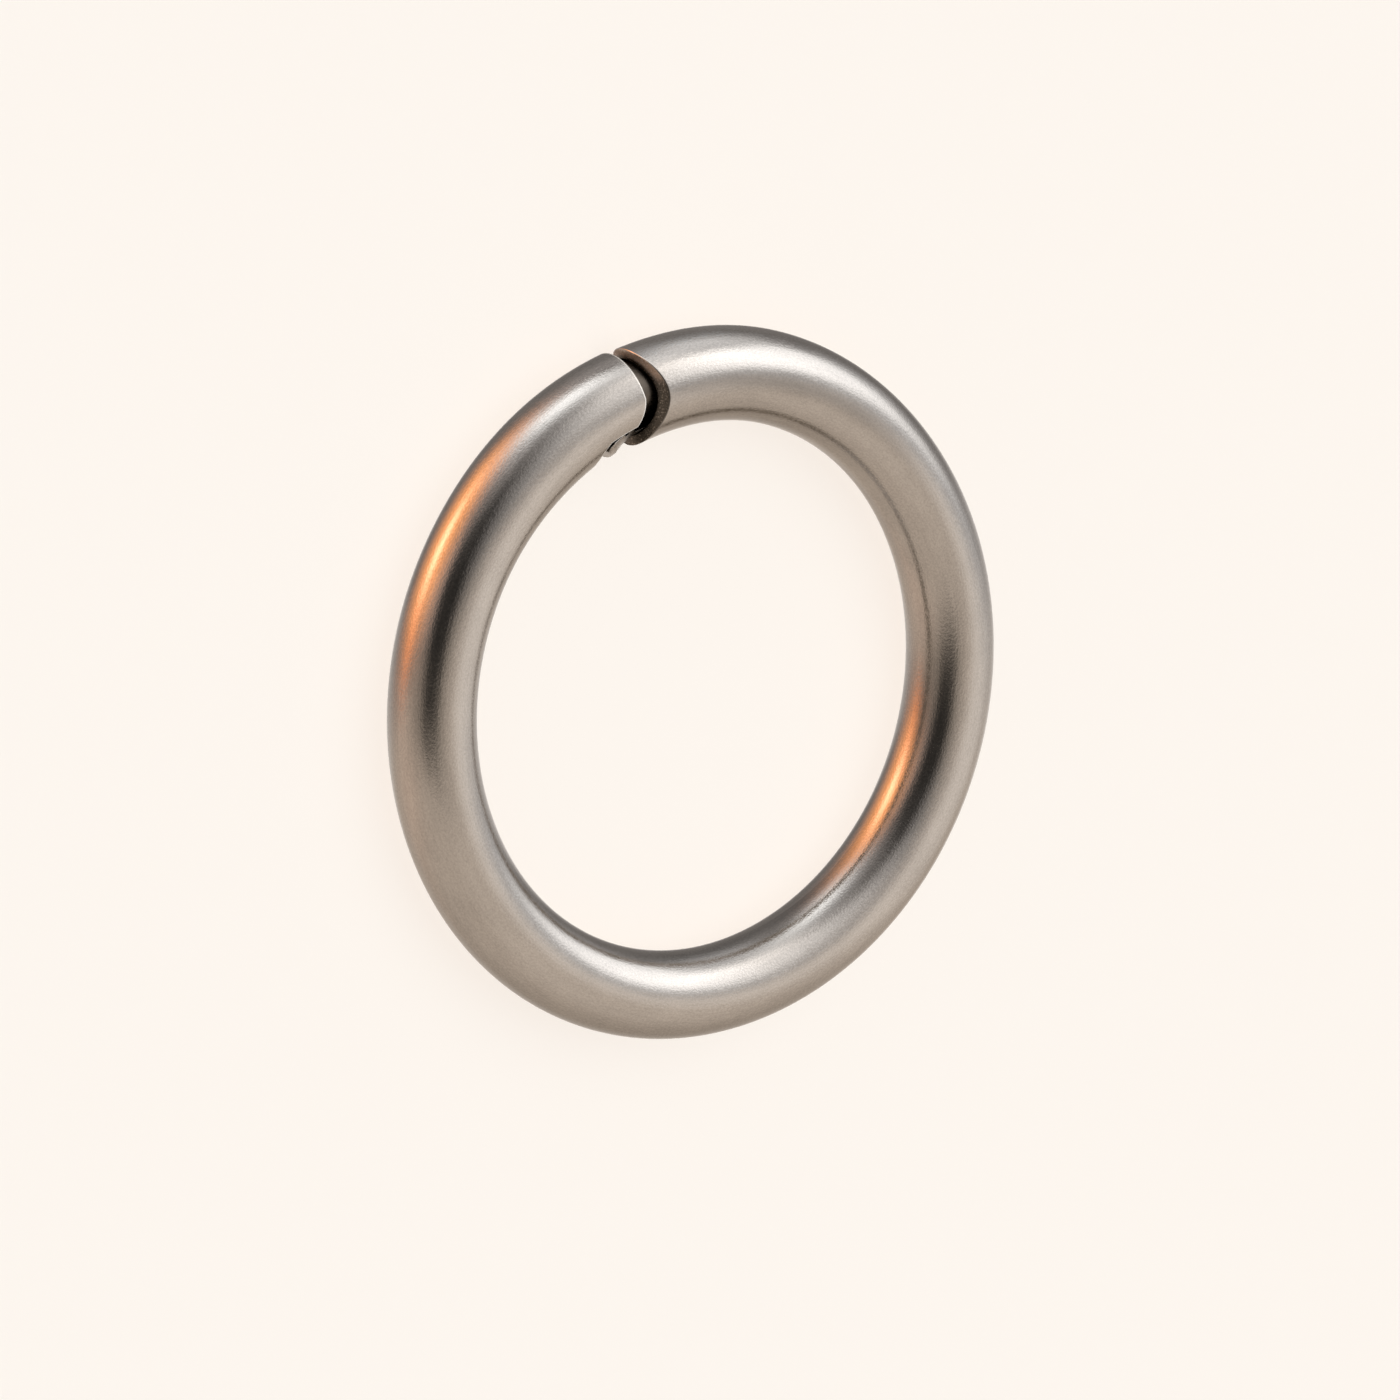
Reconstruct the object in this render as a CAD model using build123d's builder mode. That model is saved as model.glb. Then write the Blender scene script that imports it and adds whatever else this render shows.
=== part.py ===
from build123d import *
from math import acos, cos, degrees, pi, radians, sin, tan
import os

# A hollow round-tube hoop. Its two ends face each other across a narrow gap: a core pin bridges them, and a
# catch tongue comes out of the arched end and lies in a notch on the inner side of the notched end.
# The hoop lies on its side. Its axis is +Z, the origin is at its centre on the surface that it lies on, and
# the gap is at +Y. Ring angles are in degrees round that axis from the middle of the gap, counter-clockwise
# from above. Tube angles are in degrees round the tube: 0 is the hoop's outer side, 90 its top and 180 its
# inner side.

# The hoop
inside_diameter = 12.2
tube_diameter = 2.0
wall = 0.225
gap_direction = 90.0
half_sections = 15
cutter_clearance = 0.05

# The notched end: a square cut, with the tube a little swollen behind it
notched_end_angle = 0.4
notched_swell_share = 0.03
notched_swell_hold_angle = 12.0
notched_swell_run_angle = 35.0

# The arched end: swollen more, towards the hoop's inside. It is cut to an arch that stands back at top and
# bottom and leans, so that the outer side stands back too
arched_end_angle = 0.45
arched_swell_share = 0.075
arched_swell_hold_angle = 12.0
arched_swell_run_angle = 60.0
arched_shift = 0.08
arched_shift_run_angle = 32.0
arch_radius = 1.5
arch_slant_angle = 12.5

# The notch: milled across the inner side of the notched end. From the end it has a rounded corner, a flat
# floor beside the tube's centre line and a hollow ramp. Lengths are along the tube's centre line
notch_tube_angle = 118.5
notch_corner_start = 0.09
notch_corner_length = 0.35
notch_corner_bulge = 0.10
notch_floor_length = 1.16
notch_ramp_length = 0.66
notch_ramp_middle_length = 0.32
notch_ramp_middle_depth = 0.184

# The catch tongue: a narrow root between the core pin and the arched end's wall, and a head that lies in the
# notch, with pockets in its edges and a bevelled tip. Lengths are along the tube's centre line, and those of
# the head are from the notched end
tongue_fit = 0.02
tongue_root_length = 1.13
tongue_root_thickness = 0.11
tongue_blend_start_length = 0.25
tongue_blend_end_length = 1.12
tongue_past_floor_length = 0.24
tongue_proud_height = 0.03
tongue_pocket_depth = 0.15
tongue_root_depth = 0.20
tongue_tip_length = 0.36

# Each row of the head's edges: how far along the head, and how much of a pocket's depth they stand back
tongue_edge_rows = [
    (0.27, 0.0),
    (0.34, 0.0),
    (0.38, 0.6),
    (0.48, 0.6),
    (0.52, 0.0),
    (0.73, 0.0),
    (0.79, 0.9),
    (1.00, 1.0),
]

# The core pin: a shank held in the notched end, and a thinner spigot that enters the arched end under the
# tongue's root
pin_fit = 0.02
shank_length = 1.14
spigot_reach = 1.45
spigot_lead_length = 0.12

tube_radius_plain = tube_diameter / 2
path_radius_plain = inside_diameter / 2 + tube_radius_plain
full_turn = 360.0
inner_side = 180.0


def ease(distance, hold, run):
    """One over the first hold degrees, then down to zero over run degrees along half a cosine wave."""
    share = min(max((distance - hold) / run, 0.0), 1.0)
    return (1 + cos(pi * share)) / 2


def from_arched_end(ring_angle):
    """How far a ring angle lies behind the arched end, in degrees. In the gap it counts as at the end."""
    return max(full_turn - arched_end_angle - ring_angle, 0.0)


def tube_radius(ring_angle):
    from_notched_end = ring_angle - notched_end_angle
    notched = notched_swell_share * ease(from_notched_end, notched_swell_hold_angle, notched_swell_run_angle)
    from_arch = from_arched_end(ring_angle)
    arched = arched_swell_share * ease(from_arch, arched_swell_hold_angle, arched_swell_run_angle)
    return tube_radius_plain * (1 + notched + arched)


def path_radius(ring_angle):
    return path_radius_plain - arched_shift * ease(from_arched_end(ring_angle), 0.0, arched_shift_run_angle)


def across(ring_angle):
    """The plane across the tube: local X outwards, local Y up, and the origin on the hoop's axis."""
    direction = radians(gap_direction + ring_angle)
    outward = (cos(direction), sin(direction), 0)
    tangent = (-sin(direction), cos(direction), 0)
    return Plane(origin=(0, 0, 0), x_dir=outward, z_dir=tuple(-value for value in tangent))


def spot(ring_angle, radius):
    """A point of the XY plane at a ring angle and a distance from the hoop's axis."""
    direction = radians(gap_direction + ring_angle)
    return (radius * cos(direction), radius * sin(direction))


def arc_degrees(length):
    """The ring angle that a length along the tube's centre line spans."""
    return degrees(length / path_radius_plain)


# The swollen arched end rests on the surface, and the tube's centre line is level with its centre
arched_radius = tube_radius(full_turn - arched_end_angle)
arched_bore = arched_radius - wall
arched_path_radius = path_radius(full_turn - arched_end_angle)
centre_height = arched_radius
notched_radius = tube_radius(notched_end_angle)
notched_bore = notched_radius - wall
spigot_radius = arched_bore - tongue_fit - tongue_root_thickness - tongue_fit
half_turn = full_turn / 2


def round_sections(first_angle, last_angle, thinner):
    """The tube's round sections from one ring angle to another, with their radii made smaller by thinner."""
    sections = []
    for index in range(half_sections):
        ring_angle = first_angle + index * (last_angle - first_angle) / (half_sections - 1)
        with BuildSketch(across(ring_angle)) as section:
            with Locations((path_radius(ring_angle), centre_height)):
                Circle(tube_radius(ring_angle) - thinner)
        sections.append(section.sketch)
    return sections


# The half with the arched end, first made as long as the arch reaches on the inner side
arch_lead_length = arched_radius * tan(radians(arch_slant_angle)) + cutter_clearance
blank_end = full_turn - arched_end_angle + arc_degrees(arch_lead_length)
arch_tool_size = 2 * tube_diameter
with BuildPart() as arched_half:
    loft(round_sections(half_turn, blank_end, 0.0))
    loft(round_sections(half_turn, blank_end, wall), mode=Mode.SUBTRACT)

    # The arch: what lies beyond a cylinder whose axis crosses the tube from the outer to the inner side
    end_direction = radians(gap_direction - arched_end_angle)
    outward = Vector(cos(end_direction), sin(end_direction), 0)
    towards_gap = Vector(-sin(end_direction), cos(end_direction), 0)
    upward = Vector(0, 0, 1)
    facing = towards_gap + outward * tan(radians(arch_slant_angle))
    tube_centre = outward * arched_path_radius + upward * centre_height
    arch_plane = Plane(origin=tube_centre, x_dir=facing, z_dir=facing.cross(upward))
    with BuildSketch(arch_plane):
        Rectangle(arch_tool_size / 2, arch_tool_size)
        with Locations((-arch_radius, 0)):
            Circle(arch_radius, mode=Mode.SUBTRACT)
    extrude(amount=arch_tool_size / 2, both=True, mode=Mode.SUBTRACT)

# The half with the notched end
with BuildPart() as notched_half:
    loft(round_sections(notched_end_angle, half_turn, 0.0))
    loft(round_sections(notched_end_angle, half_turn, wall), mode=Mode.SUBTRACT)

    # The notch
    floor_radius = path_radius_plain + notched_radius * cos(radians(notch_tube_angle))
    corner_radius = path_radius_plain + notch_corner_start
    clear_radius = path_radius_plain - notched_radius - cutter_clearance
    before_end = notched_end_angle - arc_degrees(cutter_clearance)
    corner_end = notched_end_angle + arc_degrees(notch_corner_length)
    corner_middle = (notched_end_angle + corner_end) / 2
    floor_end = notched_end_angle + arc_degrees(notch_floor_length)
    floor_middle = (corner_end + floor_end) / 2
    ramp_middle = floor_end + arc_degrees(notch_ramp_middle_length)
    ramp_end = floor_end + arc_degrees(notch_ramp_length)
    with BuildSketch(Plane.XY):
        with BuildLine():
            corner = ThreePointArc(
                spot(notched_end_angle, corner_radius),
                spot(corner_middle, (corner_radius + floor_radius) / 2 - notch_corner_bulge),
                spot(corner_end, floor_radius),
            )
            floor = ThreePointArc(corner @ 1, spot(floor_middle, floor_radius), spot(floor_end, floor_radius))
            ramp = ThreePointArc(
                floor @ 1,
                spot(ramp_middle, floor_radius - notch_ramp_middle_depth),
                spot(ramp_end, clear_radius),
            )
            Polyline(ramp @ 1, spot(before_end, clear_radius), spot(before_end, corner_radius), corner @ 0)
        make_face()
    extrude(amount=2 * centre_height, mode=Mode.SUBTRACT)

# The hoop's tube
with BuildPart() as hoop_tube:
    add(arched_half.part)
    add(notched_half.part)
hoop_tube.part.label = "hoop_tube"

# The core pin, bent to the hoop's own radius. Its shank starts where the tongue is as wide as the bore
spigot_tip = -arched_end_angle - arc_degrees(spigot_reach)
shank_start = notched_end_angle + arc_degrees(tongue_blend_end_length)
with BuildPart() as core_pin:
    with BuildSketch(across(spigot_tip)):
        with Locations((path_radius_plain, centre_height)):
            Circle(spigot_radius)
    revolve(axis=Axis.Z, revolution_arc=shank_start - spigot_tip)
    with BuildSketch(across(shank_start)):
        with Locations((path_radius_plain, centre_height)):
            Circle(notched_bore - pin_fit)
    revolve(axis=Axis.Z, revolution_arc=arc_degrees(shank_length))
    tip_centre = Vector(*spot(spigot_tip, path_radius_plain), centre_height)
    tip_face = core_pin.faces().sort_by_distance(tip_centre)[0]
    chamfer(tip_face.edges(), spigot_lead_length)
core_pin.part.label = "core_pin"


def tongue_section(length, depth):
    """A band bent round the tube's centre, at a length from the notched end. Its edges are upright and stand
    back from the notch's floor by depth. It fits the arched end's bore at the root and the notched end's tube
    at the head, and is blended between."""
    share = (length - tongue_blend_start_length) / (tongue_blend_end_length - tongue_blend_start_length)
    share = min(max(share, 0.0), 1.0)
    centre_out = arched_path_radius + share * (path_radius_plain - arched_path_radius)
    root_outer = arched_bore - tongue_fit
    head_outer = notched_radius + tongue_proud_height
    outer = root_outer + share * (head_outer - root_outer)
    root_inner = root_outer - tongue_root_thickness
    head_inner = notched_bore
    inner = root_inner + share * (head_inner - root_inner)
    edge_out = floor_radius - tongue_fit - depth - centre_out
    outer_edge_angle = degrees(acos(edge_out / outer))
    inner_edge_angle = degrees(acos(edge_out / inner))
    with BuildSketch(across(notched_end_angle + arc_degrees(length))) as section:
        with BuildLine():
            centre = (centre_out, centre_height)
            far = CenterArc(centre, outer, outer_edge_angle, 2 * (inner_side - outer_edge_angle))
            near = CenterArc(centre, inner, inner_edge_angle, 2 * (inner_side - inner_edge_angle))
            Line(far @ 0, near @ 0)
            Line(far @ 1, near @ 1)
        make_face()
    return section.sketch


gap_length = path_radius_plain * radians(notched_end_angle + arched_end_angle)
root_start = -gap_length - tongue_root_length
head_length = notch_floor_length + tongue_past_floor_length

# The catch tongue
with BuildPart() as catch_tongue:
    root_lengths = (root_start, (root_start - gap_length) / 2, -gap_length, tongue_blend_start_length)
    sections = [tongue_section(length, tongue_root_depth) for length in root_lengths]
    for length_share, depth_share in tongue_edge_rows:
        sections.append(tongue_section(length_share * head_length, depth_share * tongue_pocket_depth))
    loft(sections, ruled=True)

    # The bevel of its tip
    tip_angle = notched_end_angle + arc_degrees(head_length)
    bevel_angle = tip_angle - arc_degrees(tongue_tip_length)
    clear_angle = tip_angle + arc_degrees(tongue_tip_length)
    tip_inside = path_radius_plain - notched_radius - tongue_proud_height
    with BuildSketch(Plane.XY):
        with BuildLine():
            Polyline(
                spot(tip_angle, floor_radius),
                spot(bevel_angle, tip_inside),
                spot(bevel_angle, clear_radius),
                spot(clear_angle, clear_radius),
                spot(clear_angle, floor_radius),
                close=True,
            )
        make_face()
    extrude(amount=2 * centre_height, mode=Mode.SUBTRACT)
catch_tongue.part.label = "catch_tongue"

os.makedirs("parts", exist_ok=True)
export_step(hoop_tube.part, "parts/hoop_tube.step")
export_step(core_pin.part, "parts/core_pin.step")
export_step(catch_tongue.part, "parts/catch_tongue.step")
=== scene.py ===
from math import cos, pi, radians, sin

import bmesh
import bpy
import numpy as np
from bpy.props import FloatProperty, FloatVectorProperty, PointerProperty
from mathutils import Matrix, Vector


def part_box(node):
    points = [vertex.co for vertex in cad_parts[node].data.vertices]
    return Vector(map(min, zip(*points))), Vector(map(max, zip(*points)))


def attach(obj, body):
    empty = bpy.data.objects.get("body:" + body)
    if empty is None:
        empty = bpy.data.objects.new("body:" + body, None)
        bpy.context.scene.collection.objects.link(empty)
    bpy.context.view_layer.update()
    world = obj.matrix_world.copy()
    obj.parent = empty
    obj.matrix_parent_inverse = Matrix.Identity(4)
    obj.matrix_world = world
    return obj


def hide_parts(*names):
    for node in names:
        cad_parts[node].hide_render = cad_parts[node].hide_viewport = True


bl_info = {
    "name": "Satin steel hoop",
    "version": (1, 0, 0),
    "blender": (4, 5, 0),
    "location": "3D View > Sidebar > Hoop",
    "description": "Builds a hollow round-tube hoop with its catch, and a pale stage to look at it",
    "category": "Object",
}

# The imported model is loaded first, so that defaults can come from it
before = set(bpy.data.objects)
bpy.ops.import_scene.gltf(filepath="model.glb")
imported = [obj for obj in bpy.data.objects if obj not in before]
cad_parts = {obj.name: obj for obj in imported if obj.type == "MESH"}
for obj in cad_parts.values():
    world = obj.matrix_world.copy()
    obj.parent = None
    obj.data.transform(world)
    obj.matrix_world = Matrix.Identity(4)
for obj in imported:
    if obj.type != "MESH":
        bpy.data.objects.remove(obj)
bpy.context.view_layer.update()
top_of_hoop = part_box("hoop_tube")[1].z

MILLIMETRE = 0.001
GAP_DIRECTION = pi / 2
FULL_TURN = 2 * pi
PLACE = "tube_place"

# Ring angles over which the swell of the ends holds, then eases off, and over which the arched end is bent
SWELL_HOLD = radians(12)
NOTCHED_SWELL_RUN = radians(35)
ARCHED_SWELL_RUN = radians(60)
SHIFT_RUN = radians(32)

# The ramp's hollow, its place and depth as shares of the ramp's length, and how far the ramp runs clear
HOLLOW_PLACE_SHARE = 0.485
HOLLOW_DEPTH_SHARE = 0.279
CLEARANCE = 0.05 * MILLIMETRE

# Far angles between the zones of the notched end: the square cut, the corner, the floor and the ramp
ZONE_BOUNDS = np.radians([0.0, 75.0, 93.75, 112.5, 180.0])

# Lengths from the notched end: where the tongue starts to rise out of the bore, and the pin's shoulder, where
# the tongue has reached the skin
RISE_START = 0.25 * MILLIMETRE
SHOULDER_DEPTH = 1.12 * MILLIMETRE

# The pin's lead at its tip and its soft edges, and the tongue's soft edges and its narrower root
PIN_LEAD = 0.12 * MILLIMETRE
PIN_ROUNDING = 0.015 * MILLIMETRE
PIN_END_ROUNDING = 0.01 * MILLIMETRE
TONGUE_ROUNDING = 0.018 * MILLIMETRE
TONGUE_ROOT_SET_BACK = 0.20 * MILLIMETRE

# Rows along the tongue's head, as shares of its length, and how far the edges stand back there, as shares of
# the pockets' depth: the first pocket, the full width, and the slit beside the tip
HEAD_ROWS = np.array([
    (0.27, 0.0), (0.36, 0.0), (0.41, 0.6), (0.47, 0.6), (0.51, 0.0),
    (0.78, 0.0), (0.82, 0.15), (0.90, 0.40), (0.96, 0.70), (1.0, 0.93)])
BEVEL_START_SHARE = 0.52

# Soft patches of painted reflection on the skin, darker or brighter where reflections and highlights fall: the
# place along the unrolled tube in millimetres, the tube angle in degrees, the half widths of both, and how much
# brighter the tone is there
PAINTED_REFLECTION_PATCHES = (
    (40.4, 92.0, 4.0, 11.0, -0.40),
    (43.8, 24.0, 2.8, 24.0, 0.60),
    (0.3, 20.0, 1.4, 18.0, 0.40),
    (6.2, 142.0, 3.6, 12.0, -0.38),
    (29.8, 156.0, 2.2, 13.0, -0.30),
    (24.4, 172.0, 2.4, 12.0, -0.32),
    (37.8, 172.0, 2.0, 14.0, 0.24),
    (3.7, 62.0, 2.2, 10.0, -0.26),
    (4.2, 42.0, 1.8, 8.0, 0.25),
)

# The tube's centre at the arched end, in the unrolled tube's millimetres, and how dark the bore is against
# the cut faces: painted shade, for the shade inside the tube
ARCHED_CENTRE = (0.0, -0.08, 0.0)
BORE_PAINTED_SHADE = 0.36

# The camera's shift, in widths of its picture, and the floor's radius in metres
CAMERA_SHIFT = (0.004434, -0.011356)
FLOOR_RADIUS = 1.5

# What the metal mirrors, fixed in the room, in degrees aside from and above the photograph's view: how a soft
# panel is laid on what is there, its name, middle, half widths, power of its fall, share and tone
PANELS = (
    ("ADD", "floor glow", (70, -46), (56, 32), 2.0, 1.0, (0.12, 0.11, 0.10)),
    ("MIX", "dim behind below", (176, -46), (66, 30), 2.0, 0.44, (0.22, 0.18, 0.14)),
    ("ADD", "warm below", (-85, -28), (45, 16), 2.0, 1.0, (0.09, 0.04, 0.02)),
    ("ADD", "horizon", (180, 0), (56, 11), 4.0, 1.0, (0.25, 0.235, 0.22)),
    ("ADD", "back wall", (176, 3), (26, 12), 3.0, 1.0, (0.21, 0.20, 0.19)),
    ("ADD", "back glow", (176, -12), (16, 7), 3.0, 1.0, (0.10, 0.10, 0.10)),
    ("ADD", "cool floor", (192, -25), (34, 11), 2.0, 1.0, (0.02, 0.035, 0.05)),
    ("ADD", "panel skirt", (94, -8), (36, 20), 3.0, 1.0, (0.27, 0.27, 0.27)),
    ("MIX", "dim behind above", (180, 42), (42, 28), 4.0, 0.25, (0.12, 0.11, 0.10)),
    ("MIX", "dark skirt", (-10, -12), (52, 19), 3.0, 0.62, (0.03, 0.027, 0.024)),
    ("ADD", "ceiling", (-14, 71), (62, 16), 1.8, 1.0, (1.28, 1.28, 1.26)),
    ("ADD", "ceiling right", (116, 64), (50, 16), 2.4, 1.0, (0.36, 0.36, 0.36)),
    ("MIX", "dim behind", (160, 53), (31, 15), 3.0, 0.5, (0.05, 0.045, 0.04)),
    ("ADD", "panel spill", (56, 33), (26, 27), 2.2, 1.0, (0.82, 0.78, 0.74)),
    ("ADD", "panel corner", (60, 46), (17, 9), 2.4, 1.0, (0.24, 0.22, 0.20)),
    ("ADD", "panel foot", (50, 5), (13, 9), 2.0, 1.0, (0.06, 0.045, 0.03)),
    ("ADD", "panel halo", (120, 29), (16, 11), 2.4, 1.0, (0.32, 0.32, 0.32)),
    ("ADD", "white panel", (90, 28.5), (26, 21), 4.0, 1.0, (1.15, 1.13, 1.11)),
    ("ADD", "left spill", (-44, 13), (19, 24), 2.2, 1.0, (0.12, 0.085, 0.065)),
    ("ADD", "orange halo", (-80, 35), (38, 28), 2.6, 1.0, (1.3, 0.41, 0.03)),
    ("ADD", "orange tail", (-82, 7), (13, 12), 2.0, 1.0, (0.50, 0.11, 0.0)),
    ("ADD", "orange lamp", (-80, 31), (9, 12), 2.0, 1.0, (2.4, 1.15, 0.75)),
    ("MIX", "dark opening", (-4, 0.5), (23, 31), 4.0, 0.97, (0.028, 0.025, 0.022)),
)
STUDIO_BELOW = (0.52, 0.43, 0.35)
STUDIO_ABOVE = (0.215, 0.195, 0.182)

# The plain surroundings that light mirrored twice comes from, and their paler front
TWICE_AROUND = (0.25, 0.195, 0.145)
TWICE_FRONT = (0.64, 0.58, 0.53)
SECOND_MIRRORING_DEPTH = 2.5


def length_value(name, description, default, least=0.0):
    """A length in metres, shown to the micrometre."""
    return FloatProperty(
        name=name, description=description, default=default, min=least, unit="LENGTH", precision=6)


def angle_value(name, description, degrees):
    """An angle, given here in degrees."""
    return FloatProperty(name=name, description=description, default=radians(degrees), subtype="ANGLE")


def share_value(name, description, default, most=1.0):
    """A share from none up to a most."""
    return FloatProperty(
        name=name, description=description, default=default, min=0.0, max=most, subtype="FACTOR")


def colour_value(name, description, default):
    """A colour, as its red, green and blue."""
    return FloatVectorProperty(
        name=name, description=description, default=default, size=3, min=0.0, max=1.0, subtype="COLOR")


class HoopSizes(bpy.types.PropertyGroup):
    """The tube, its two ends and the notch."""

    inside_diameter: length_value("Inside diameter", "Across the hole of the hoop", 0.0122, 0.004)
    tube_diameter: length_value("Tube diameter", "Across the plain tube", 0.0020, 0.0005)
    wall: length_value("Wall", "Thickness of the tube's wall", 0.000225, 0.00005)
    centre_height: length_value(
        "Centre height", "Height of the tube's centre line above the floor", top_of_hoop / 2, 0.0005)
    rim_rounding: length_value(
        "Rim rounding", "How far the edges of the cut ends are rounded over", 0.000016, 0.000001)
    worn_rim_rounding: length_value(
        "Worn rim rounding", "How far the notched end's outer edge is rounded over", 0.000045, 0.000001)
    notched_end_angle: angle_value(
        "Notched end", "Ring angle from the middle of the gap to the notched end", 0.4)
    notched_swell_share: share_value(
        "Notched end swell", "How much wider the tube is at the notched end", 0.03, 0.2)
    arched_end_angle: angle_value(
        "Arched end", "Ring angle from the middle of the gap to the arched end", 0.45)
    arched_swell_share: share_value(
        "Arched end swell", "How much wider the tube is at the arched end", 0.075, 0.2)
    arched_shift: length_value(
        "Arched end shift", "How far the arched end is bent towards the hoop's inside", 0.00008)
    arch_radius: length_value(
        "Arch radius", "Radius of the arch that the arched end is cut to", 0.0015, 0.0012)
    arch_slant_angle: angle_value(
        "Arch slant", "How far the arch leans, so that the outer side stands back", 12.5)
    notch_tube_angle: angle_value(
        "Notch side", "Tube angle at which the notch's floor meets the tube's skin", 118.5)
    notch_corner_start: length_value(
        "Notch corner start", "Where the corner starts, outside the tube's centre line", 0.00009)
    notch_corner_length: length_value("Notch corner", "Length of the notch's rounded corner", 0.00035)
    notch_corner_bulge: length_value(
        "Notch corner bulge", "How far the corner stands out of its chord", 0.0001)
    notch_floor_length: length_value(
        "Notch floor", "Length from the notched end to the end of the notch's floor", 0.00116)
    notch_ramp_length: length_value("Notch ramp", "Length of the hollow ramp behind the floor", 0.00066)


class CatchSizes(bpy.types.PropertyGroup):
    """The catch tongue and the core pin."""

    tongue_root_length: length_value(
        "Tongue root", "How far the tongue's root reaches into the arched end", 0.00113)
    tongue_root_thickness: length_value("Tongue thickness", "Thickness of the tongue's root", 0.00011)
    tongue_past_floor_length: length_value(
        "Tongue past the floor", "How far the tip passes the start of the ramp", 0.00024)
    tongue_proud_height: length_value(
        "Tongue proud", "How far the tongue's head stands out of the tube's skin", 0.00003)
    tongue_pocket_depth: length_value(
        "Pocket depth", "Depth of the pockets in the tongue's edges", 0.00015)
    tongue_tip_length: length_value("Tongue tip", "Length of the bevel at the tongue's tip", 0.00036)
    spigot_reach: length_value("Spigot reach", "How far the pin's spigot enters the arched end", 0.00145)
    shank_length: length_value("Shank length", "Length of the pin's shank in the notched end", 0.00114)
    fit: length_value("Fit", "Clearance between the pin, the tongue and the tube", 0.00002)


class SteelLook(bpy.types.PropertyGroup):
    """The finish of the steel."""

    skin_tone: colour_value("Skin", "Colour of the satin skin", (0.66, 0.645, 0.63))
    cut_tone: colour_value("Cut faces", "Colour of the cut ends and the notch", (0.50, 0.465, 0.42))
    # The rims' tone also gives the painted highlight at the cut faces' outermost edge
    rim_tone: colour_value(
        "Rims", "Colour of the rounded rims, where handling keeps them bright", (0.97, 0.93, 0.88))
    # A dull brown tone laid over the outer part of the cut faces' wall, towards the hoop's outer side
    tint_tone: colour_value(
        "Film", "Colour of the dull brown film near the outer side of the cut faces", (0.52, 0.33, 0.22))
    # The pin's tone is darkened as painted shade, for the shade in the gap and the bore
    shaded_pin_tone: colour_value("Pin", "Colour of the turned core pin", (0.19, 0.17, 0.15))
    skin_roughness: share_value("Skin roughness", "Roughness of the satin skin", 0.135)
    grain_height: length_value("Grain height", "Height of the satin grain", 0.0000033)


class StageLook(bpy.types.PropertyGroup):
    """The floor, the lamps and the camera."""

    floor_tone: colour_value("Floor", "Colour of the floor in full light", (0.985, 0.925, 0.862))
    camera_azimuth: angle_value(
        "Camera azimuth", "Direction of the camera round the hoop's axis, from +X", 144.0)
    camera_elevation: angle_value(
        "Camera elevation", "Height of the camera above the floor, as an angle", 53.256)
    camera_roll: angle_value(
        "Camera roll", "How far the camera is turned about its own line of sight", 106.517)
    camera_distance: length_value("Camera distance", "From the camera to the hoop's centre", 0.3463)
    camera_lens: FloatProperty(
        name="Lens", description="Focal length on a 36 mm wide sensor",
        default=396.4, unit="CAMERA")


def ease(distance, hold, run):
    """One up to hold, then down to zero over run, along half a cosine wave."""
    share = np.clip((distance - hold) / run, 0.0, 1.0)
    return (1 + np.cos(np.pi * share)) / 2


def path_radius_plain(sizes):
    """Half the hole's width plus half the tube's thickness."""
    return (sizes.inside_diameter + sizes.tube_diameter) / 2


def tube_radius(ring, sizes):
    """Half the tube's diameter, times one plus each end's swell as it eases off along the hoop."""
    notched = ease(ring - sizes.notched_end_angle, SWELL_HOLD, NOTCHED_SWELL_RUN)
    arched = ease(np.maximum(FULL_TURN - sizes.arched_end_angle - ring, 0.0), SWELL_HOLD, ARCHED_SWELL_RUN)
    swell = 1 + sizes.notched_swell_share * notched + sizes.arched_swell_share * arched
    return sizes.tube_diameter / 2 * swell


def path_radius(ring, sizes):
    """The plain path's radius, less the arched end's shift as it eases off."""
    behind = np.maximum(FULL_TURN - sizes.arched_end_angle - ring, 0.0)
    return path_radius_plain(sizes) - sizes.arched_shift * ease(behind, 0.0, SHIFT_RUN)


def end_radii(sizes):
    """The tube's radius at the notched end and at the arched one, and the path's radius at the arched one."""
    arched_at = np.array(FULL_TURN - sizes.arched_end_angle)
    notched = float(tube_radius(np.array(sizes.notched_end_angle), sizes))
    return notched, float(tube_radius(arched_at, sizes)), float(path_radius(arched_at, sizes))


def place(ring, radius, height):
    """A point at a ring angle from the middle of the gap, a distance from the hoop's axis and a height."""
    direction = GAP_DIRECTION + ring
    return np.stack([radius * np.cos(direction), radius * np.sin(direction), height], axis=-1)


def out_and_up(rho, angle):
    """How far out and how far up a point lies from the tube's centre: the cosine and the sine of its tube
    angle, times its distance."""
    return rho * np.cos(angle), rho * np.sin(angle)


def on_tube(ring, centre, rho, angle, sizes):
    """A point at a tube angle and a distance from the tube's centre, which lies at a radius of the hoop."""
    out, up = out_and_up(rho, angle)
    return place(ring, centre + out, sizes.centre_height + up)


def arc_through(first, middle, last, count):
    """Points on the circle through three points of the plan, given and returned as ring angle and radius. The
    centre is where the perpendicular bisectors of the two chords meet."""
    flat = [np.array([r * np.cos(a), r * np.sin(a)]) for a, r in (first, middle, last)]
    chords = np.array([flat[1] - flat[0], flat[2] - flat[1]])
    halves = np.array([(flat[0] + flat[1]) / 2, (flat[1] + flat[2]) / 2])
    centre = np.linalg.solve(chords, (chords * halves).sum(axis=1))
    angles = np.unwrap([np.arctan2(*(p - centre)[::-1]) for p in flat])
    swept = np.linspace(angles[0], angles[2], count)
    radius = np.linalg.norm(flat[0] - centre)
    x, y = centre[0] + radius * np.cos(swept), centre[1] + radius * np.sin(swept)
    return np.arctan2(y, x), np.hypot(x, y)


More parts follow.
